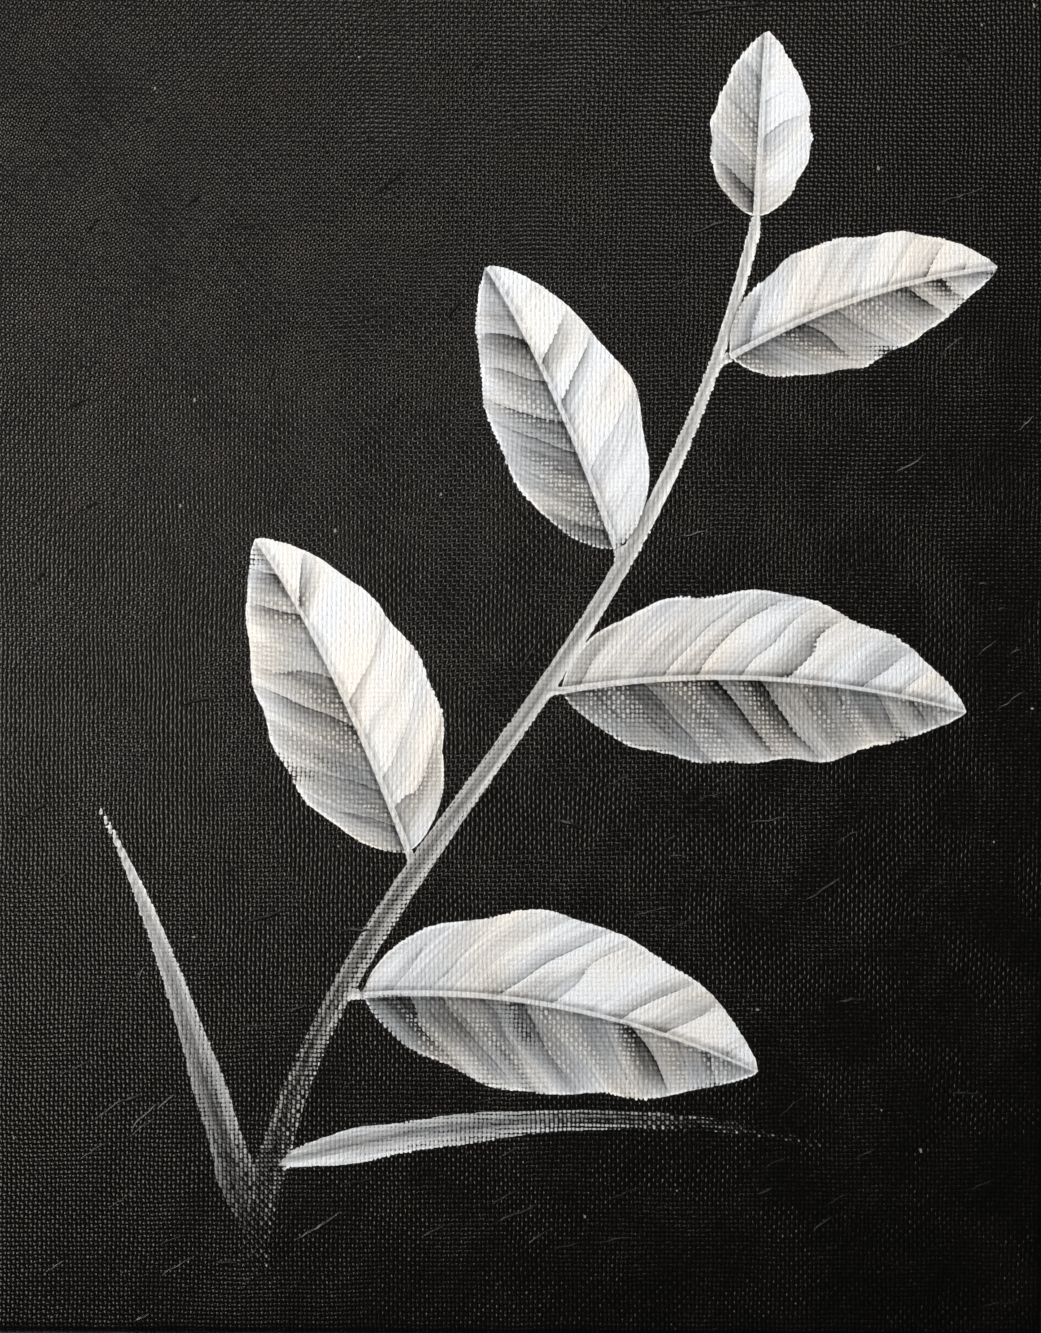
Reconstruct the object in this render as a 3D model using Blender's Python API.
"""A painted artist's canvas, 11 by 14 inches: cotton cloth stretched over a mitred wooden frame.

It stands upright with its painted face towards -Y, +X to the right and +Z up. The origin is under the
middle of its bottom edge, on the surface that it would stand on. Lengths are metres, and every place is
worked out from the named sizes below.
"""

import math
import random

import bmesh
import bpy
from mathutils import Matrix, Vector

# The stretched canvas, over the cloth
FACE_WIDTH = 0.2794
FACE_HEIGHT = 0.3556
CANVAS_DEPTH = 0.0190

# Clearance between neighbouring pieces, and how far a cutter runs past what it cuts
GAP = 0.0003
OVER = 0.0020

# Cloth: its thickness with primer and paint, the turned-over flap, and its rounded edges
CLOTH = 0.0008
FLAP = 0.0250
FRONT_ROUND = 0.0033
BACK_ROUND = 0.0012
CORNER_ROUND = 0.0012
TIGHTEST_ROUND = 0.0003
ROUND_STEPS = 4
CORNER_STEPS = 3

# The tuck at each corner: extra layers of cloth, three-cornered, on the side edge and on the side flap
FOLD = 0.0008
FOLD_MARGIN = 0.0020

# Stretcher bars: width, the raised bead that carries the cloth, and how far the front slopes away behind it
BAR_WIDTH = 0.0380
BAR_DEPTH = CANVAS_DEPTH - 2 * (CLOTH + GAP)
BEAD_ROUND = FRONT_ROUND - CLOTH - GAP
BEAD_ROUND_STEPS = 5
BEAD_WIDTH = 0.0050
BEAD_STEP = 0.0012
BAR_SLOPE = 0.0024
EASED_EDGE = 0.0010

# Corner joint: layers of the bar from its back, one slot or tongue thick each in the middle
BACK_LAYER = 0.0042
SLOT_LAYER = 0.0035
MITRE_GAP = 0.0003

# Corner keys: thin wedges in what the slots leave open past the tongues
KEY_ROOM = 0.0080
KEY_LENGTH = 0.0420
KEY_STANDS_OUT = 0.0110
KEY_TIP = 0.0025
KEY_CLIP = 0.0015

# Staples: crown length, wire thickness and width, legs, and where they go
STAPLE_CROWN = 0.0100
STAPLE_THICK = 0.0006
STAPLE_WIRE = 0.0012
STAPLE_LEG = 0.0050
STAPLE_INSET = 0.0150
STAPLE_FROM_CORNER = 0.0450
STAPLES_ACROSS = 5
STAPLES_UP = 7
CORNER_STAPLE = (0.0090, 0.0190)
STAPLE_SKEW = math.radians(5)
STAPLE_SEED = 7

# Places along the depth, which is centred on the origin, and the middle of the height
FULL_DEPTH = CANVAS_DEPTH + FOLD + GAP + STAPLE_THICK
Y_FRONT = -FULL_DEPTH / 2
Y_BACK = Y_FRONT + CANVAS_DEPTH
MID_Z = FACE_HEIGHT / 2

COLOURS = {
    "painted_canvas": ((0.022, 0.021, 0.020), 0.55, 0.0),
    "pine": ((0.66, 0.47, 0.28), 0.60, 0.0),
    "key_wood": ((0.60, 0.40, 0.22), 0.62, 0.0),
    "staple_steel": ((0.62, 0.62, 0.63), 0.32, 1.0),
}


def clear_scene():
    for found in list(bpy.data.objects):
        bpy.data.objects.remove(found, do_unlink=True)


def collection(name, parent, shown=True):
    made = bpy.data.collections.new(name)
    parent.children.link(made)
    made.hide_render = not shown
    return made


def material(name):
    colour, roughness, metallic = COLOURS[name]
    made = bpy.data.materials.new(name)
    made.use_nodes = True
    shader = made.node_tree.nodes["Principled BSDF"]
    shader.inputs["Base Color"].default_value = (*colour, 1)
    shader.inputs["Roughness"].default_value = roughness
    shader.inputs["Metallic"].default_value = metallic
    made.diffuse_color = (*colour, 1)
    return made


def place(name, mesh, home, finish=None, parent=None, matrix=None):
    """A new object of this mesh in the collection home, placed by a matrix in its parent's space."""
    made = bpy.data.objects.new(name, mesh)
    home.objects.link(made)
    made.parent = parent
    if matrix is not None:
        made.matrix_local = matrix
    if finish is not None and not mesh.materials:
        mesh.materials.append(finish)
    return made


def as_cutter(made):
    made.hide_render = True
    made.display_type = "WIRE"
    return made


def block(name, low, high, matrix=None):
    """A box mesh between two corners, then moved by a matrix."""
    low, high = Vector(low), Vector(high)
    spread = Matrix.Diagonal((*(high - low), 1))
    cage = bmesh.new()
    bmesh.ops.create_cube(cage, size=1, matrix=Matrix.Translation((low + high) / 2) @ spread)
    if matrix is not None:
        bmesh.ops.transform(cage, matrix=matrix, verts=cage.verts)
    mesh = bpy.data.meshes.new(name)
    cage.to_mesh(mesh)
    cage.free()
    return mesh


def plate(name, outline, thickness, matrix):
    """A mesh with this flat outline in X and Y, centred on Z = 0, then moved by a matrix."""
    curve = bpy.data.curves.new(name, "CURVE")
    curve.dimensions = "2D"
    curve.fill_mode = "BOTH"
    curve.extrude = thickness / 2
    spline = curve.splines.new("POLY")
    spline.points.add(len(outline) - 1)
    for point, (x, y) in zip(spline.points, outline):
        point.co = (x, y, 0, 1)
    spline.use_cyclic_u = True
    guide = bpy.data.objects.new(name, curve)
    bpy.context.scene.collection.objects.link(guide)
    graph = bpy.context.evaluated_depsgraph_get()
    mesh = bpy.data.meshes.new_from_object(guide.evaluated_get(graph))
    mesh.name = name
    bpy.data.objects.remove(guide)
    bpy.data.curves.remove(curve)
    cage = bmesh.new()
    cage.from_mesh(mesh)
    bmesh.ops.remove_doubles(cage, verts=cage.verts, dist=1e-6)
    bmesh.ops.transform(cage, matrix=matrix, verts=cage.verts)
    bmesh.ops.recalc_face_normals(cage, faces=cage.faces)
    cage.to_mesh(mesh)
    cage.free()
    return mesh


def cut(made, cutters, operation="DIFFERENCE"):
    boolean = made.modifiers.new(operation.lower(), "BOOLEAN")
    boolean.operation = operation
    boolean.operand_type = "COLLECTION"
    boolean.collection = cutters
    boolean.solver = "EXACT"


def arc(centre, radius, start, end, steps):
    """Points along a circle between two angles in degrees."""
    turns = [math.radians(start + (end - start) * step / steps) for step in range(steps + 1)]
    return [(centre[0] + radius * math.cos(turn), centre[1] + radius * math.sin(turn)) for turn in turns]


# Outlines are drawn in X and Y. STANDING turns such a plate up into X and Z. LENGTHWISE lays a bar's
# section across its length: the section's X becomes depth (Y), its Y becomes height (Z), and its
# thickness runs along X.
STANDING = Matrix.Rotation(math.pi / 2, 4, "X")
LENGTHWISE = Matrix(((0, 0, 1, 0), (1, 0, 0, 0), (0, 1, 0, 0), (0, 0, 0, 1)))


def bar_section():
    """The bar's section. X is depth, 0 at the back and negative in front. Y is 0 at the outer edge."""
    front = -BAR_DEPTH
    step = front + BEAD_STEP
    inner_front = front + BAR_SLOPE
    outline = [(0, -EASED_EDGE), (-EASED_EDGE, 0)]
    outline += arc((front + BEAD_ROUND, -BEAD_ROUND), BEAD_ROUND, 90, 180, BEAD_ROUND_STEPS)
    outline += [(front, -BEAD_WIDTH), (step, -BEAD_WIDTH - BEAD_STEP)]
    outline += [(inner_front, -BAR_WIDTH + EASED_EDGE), (inner_front + EASED_EDGE, -BAR_WIDTH)]
    outline += [(-EASED_EDGE, -BAR_WIDTH), (0, -BAR_WIDTH + EASED_EDGE)]
    return outline


def layer(number):
    """How far slot layer 0 or 1 lies in front of the bar's back: where it starts and where it ends."""
    start = BACK_LAYER + number * SLOT_LAYER
    return start, start + SLOT_LAYER


def end_cutters(name, length, side, home, bar):
    """What is cut from one end of a bar: the mitre behind and in front of its tongue, and its slot.

    The right end, side 1, has its tongue in the layer nearer the back and its slot in the other. The left
    end has them the other way round, so that any two neighbours fit.
    """
    tongue, slot = (layer(0), layer(1)) if side > 0 else (layer(1), layer(0))
    tip = Vector((side * (length / 2 - MITRE_GAP / math.sqrt(2)), 0, 0))
    turned = Matrix.Translation(tip) @ Matrix.Rotation(math.radians(90 - 45 * side), 4, "Y")
    reach = 2 * BAR_WIDTH
    behind = (-OVER, tongue[0] + GAP)
    before = (tongue[1] - GAP, BAR_DEPTH + OVER)
    for label, (near, far) in (("mitre_behind", behind), ("mitre_before", before)):
        mesh = block(f"{name}_{label}", (0, -far, -reach), (reach, -near, reach), turned)
        as_cutter(place(f"{name}_{label}", mesh, home, parent=bar))
    ends = sorted((side * (length / 2 - BAR_WIDTH - KEY_ROOM), side * (length / 2 + OVER)))
    mesh = block(f"{name}_slot", (ends[0], -slot[1], -BAR_WIDTH - OVER), (ends[1], -slot[0], OVER))
    as_cutter(place(f"{name}_slot", mesh, home, parent=bar))


def key_outline(length, side):
    """One wedge in its bar's plane, its straight side along the other bar and its head inside the frame."""
    head = -BAR_WIDTH - KEY_STANDS_OUT
    tip = head + KEY_LENGTH
    slope = (KEY_ROOM - 2 * GAP - KEY_TIP) / (tip + BAR_WIDTH)
    head_width = KEY_TIP + slope * KEY_LENGTH
    straight = length / 2 - BAR_WIDTH - GAP
    outline = [
        (straight, head + KEY_CLIP),
        (straight, tip),
        (straight - KEY_TIP, tip),
        (straight - head_width, head + KEY_CLIP),
        (straight - head_width + KEY_CLIP, head),
        (straight - KEY_CLIP, head),
    ]
    return [(side * x, z) for x, z in outline]


def make_bar(name, length, matrix, home, cutters, finishes, root):
    """A stretcher bar with its end cuts and the keys in its slots. It returns its cutters' collection."""
    bar = place(name, plate(name, bar_section(), length, LENGTHWISE), home, finishes["pine"], root, matrix)
    own = collection(f"{name}_cutters", cutters, shown=False)
    for side, end in ((1, "right"), (-1, "left")):
        end_cutters(f"{name}_{end}", length, side, own, bar)
        slot = layer(1) if side > 0 else layer(0)
        thickness = SLOT_LAYER - 2 * GAP
        mesh = plate(f"{name}_key_{end}", key_outline(length, side), thickness, STANDING)
        at = Matrix.Translation((0, -(slot[0] + slot[1]) / 2, 0))
        place(f"{name}_key_{end}", mesh, home, finishes["key_wood"], bar, at)
    cut(bar, own)
    return own


def cloth_section(inside):
    """(inset, y) from the front's flat to the flap's edge, on the surface this far inside the cloth."""
    front, back = FRONT_ROUND - inside, BACK_ROUND - inside
    y_front, y_back = Y_FRONT + FRONT_ROUND, Y_BACK - BACK_ROUND
    turns = [math.pi / 2 * step / ROUND_STEPS for step in range(ROUND_STEPS + 1)]
    stations = [(FRONT_ROUND - front * math.sin(turn), y_front - front * math.cos(turn)) for turn in turns]
    stations += [(BACK_ROUND - back * math.cos(turn), y_back + back * math.sin(turn)) for turn in turns]
    return stations + [(FLAP, Y_BACK - inside)]


def cloth_ring(inset, y):
    """One closed row of points round the canvas, this far in from its outer edge, with rounded corners."""
    radius = max(CORNER_ROUND - inset, TIGHTEST_ROUND)
    x, z = FACE_WIDTH / 2 - inset - radius, FACE_HEIGHT / 2 - inset - radius
    points = []
    for quarter, (side, up) in enumerate(((1, 1), (-1, 1), (-1, -1), (1, -1))):
        corner = arc((side * x, up * z), radius, 90 * quarter, 90 * quarter + 90, CORNER_STEPS)
        points += [(across, y, MID_Z + high) for across, high in corner]
    return points


def make_cloth(home, cutters, finishes, root):
    """The cloth as one thin tray: face, rounded edges, sides and flaps, with the tucks at its corners."""
    stations = cloth_section(0) + cloth_section(CLOTH)[::-1]
    cage = bmesh.new()
    rings = [[cage.verts.new(point) for point in cloth_ring(*station)] for station in stations]
    for ring, following in zip(rings, rings[1:]):
        for i, first in enumerate(ring):
            j = (i + 1) % len(ring)
            cage.faces.new((first, ring[j], following[j], following[i]))
    cage.faces.new(rings[0])
    cage.faces.new(rings[-1])
    bmesh.ops.recalc_face_normals(cage, faces=cage.faces)
    mesh = bpy.data.meshes.new("canvas")
    cage.to_mesh(mesh)
    cage.free()
    canvas = place("canvas", mesh, home, finishes["painted_canvas"], root)
    tucks = collection("tucks", cutters, shown=False)
    make_tucks(tucks, root)
    cut(canvas, tucks, "UNION")
    return canvas


def make_tucks(home, root):
    """Three-cornered pads sunk half into the cloth, on the side edge and the side flap of each corner."""
    sunk = CLOTH / 2
    thickness = FOLD + sunk
    top = FACE_HEIGHT / 2 - FOLD_MARGIN
    low_side = top - (CANVAS_DEPTH - FRONT_ROUND - FOLD_MARGIN)
    front, back = Y_FRONT + FRONT_ROUND, Y_BACK - FOLD_MARGIN
    edge_outline = [(front, top), (back, top), (back, low_side)]
    out, inner, low_flap = FACE_WIDTH / 2 - FOLD_MARGIN, FACE_WIDTH / 2 - FLAP, FACE_HEIGHT / 2 - FLAP
    flap_outline = [(out, top), (out, low_flap), (inner, low_flap)]
    for side, right in ((1, "right"), (-1, "left")):
        for up, above in ((1, "top"), (-1, "bottom")):
            outline = [(y, up * z) for y, z in edge_outline]
            mesh = plate(f"tuck_edge_{above}_{right}", outline, thickness, LENGTHWISE)
            at = Matrix.Translation((side * (FACE_WIDTH / 2 - sunk + thickness / 2), 0, MID_Z))
            as_cutter(place(mesh.name, mesh, home, parent=root, matrix=at))
            outline = [(side * x, up * z) for x, z in flap_outline]
            mesh = plate(f"tuck_flap_{above}_{right}", outline, thickness, STANDING)
            at = Matrix.Translation((0, Y_BACK - sunk + thickness / 2, MID_Z))
            as_cutter(place(mesh.name, mesh, home, parent=root, matrix=at))


def staple_outline():
    """A staple seen from its side, with its crown's underside on Y = 0 and its legs down."""
    out = STAPLE_CROWN / 2
    leg = out - STAPLE_THICK
    right = [(out, STAPLE_THICK), (out, -STAPLE_LEG), (leg, -STAPLE_LEG), (leg, 0)]
    return right + [(-x, y) for x, y in reversed(right)]


def leg_holes(name):
    """The two holes that a staple's legs need, as one mesh."""
    middle, half = STAPLE_CROWN / 2 - STAPLE_THICK / 2, STAPLE_THICK / 2 + GAP
    wide = STAPLE_WIRE / 2 + GAP
    cage = bmesh.new()
    for side in (1, -1):
        low = Vector((side * middle - half, -STAPLE_LEG - GAP, -wide))
        high = Vector((side * middle + half, OVER, wide))
        spread = Matrix.Diagonal((*(high - low), 1))
        bmesh.ops.create_cube(cage, size=1, matrix=Matrix.Translation((low + high) / 2) @ spread)
    mesh = bpy.data.meshes.new(name)
    cage.to_mesh(mesh)
    cage.free()
    return mesh


def spaced(count, span):
    return [span * (2 * i / (count - 1) - 1) for i in range(count)]


def staple_places():
    """(bar, x, z, turn about Y, layers of cloth under it) for every staple."""
    x_edge, z_edge = FACE_WIDTH / 2 - STAPLE_INSET, FACE_HEIGHT / 2 - STAPLE_INSET
    found = []
    for up, bar in ((1, "bar_top"), (-1, "bar_bottom")):
        for x in spaced(STAPLES_ACROSS, FACE_WIDTH / 2 - STAPLE_FROM_CORNER):
            found.append((bar, x, up * z_edge, 0, 1))
    in_x, in_z = FACE_WIDTH / 2 - CORNER_STAPLE[0], FACE_HEIGHT / 2 - CORNER_STAPLE[1]
    for side, bar in ((1, "bar_right"), (-1, "bar_left")):
        for z in spaced(STAPLES_UP, FACE_HEIGHT / 2 - STAPLE_FROM_CORNER):
            found.append((bar, side * x_edge, z, math.pi / 2, 1))
        for up in (1, -1):
            found.append((bar, side * in_x, up * in_z, -side * up * math.pi / 4, 2))
    return found


def make_staples(home, bar_cutters, cloth_cutters, finishes, root):
    """Staples through the flaps, none quite straight, with holes for their legs in bar and cloth."""
    chance = random.Random(STAPLE_SEED)
    staple = plate("staple", staple_outline(), STAPLE_WIRE, Matrix())
    holes = leg_holes("staple_holes")
    for number, (bar, x, z, turn, layers) in enumerate(staple_places(), start=1):
        turn += chance.uniform(-STAPLE_SKEW, STAPLE_SKEW)
        y = Y_BACK + GAP + FOLD * (layers - 1)
        matrix = Matrix.Translation((x, y, MID_Z + z)) @ Matrix.Rotation(turn, 4, "Y")
        place(f"staple_{number:02d}", staple, home, finishes["staple_steel"], root, matrix)
        hole = as_cutter(place(f"staple_holes_{number:02d}", holes, bar_cutters[bar], None, root, matrix))
        cloth_cutters.objects.link(hole)


def build():
    clear_scene()
    scene = bpy.context.scene.collection
    home = collection("stretched_canvas", scene)
    cutters = collection("cutters", scene, shown=False)
    finishes = {name: material(name) for name in COLOURS}
    root = bpy.data.objects.new("stretched_canvas", None)
    home.objects.link(root)
    across = FACE_WIDTH - 2 * (CLOTH + GAP)
    upright = FACE_HEIGHT - 2 * (CLOTH + GAP)
    wood_back = Y_BACK - CLOTH - GAP
    bar_cutters = {}
    for quarter, name in enumerate(("bar_top", "bar_right", "bar_bottom", "bar_left")):
        length, other = (across, upright) if quarter % 2 == 0 else (upright, across)
        turn = Matrix.Rotation(quarter * math.pi / 2, 4, "Y")
        matrix = Matrix.Translation((0, wood_back, MID_Z)) @ turn @ Matrix.Translation((0, 0, other / 2))
        bar_cutters[name] = make_bar(name, length, matrix, home, cutters, finishes, root)
    canvas = make_cloth(home, cutters, finishes, root)
    cloth_cutters = collection("cloth_cutters", cutters, shown=False)
    make_staples(home, bar_cutters, cloth_cutters, finishes, root)
    cut(canvas, cloth_cutters)


build()
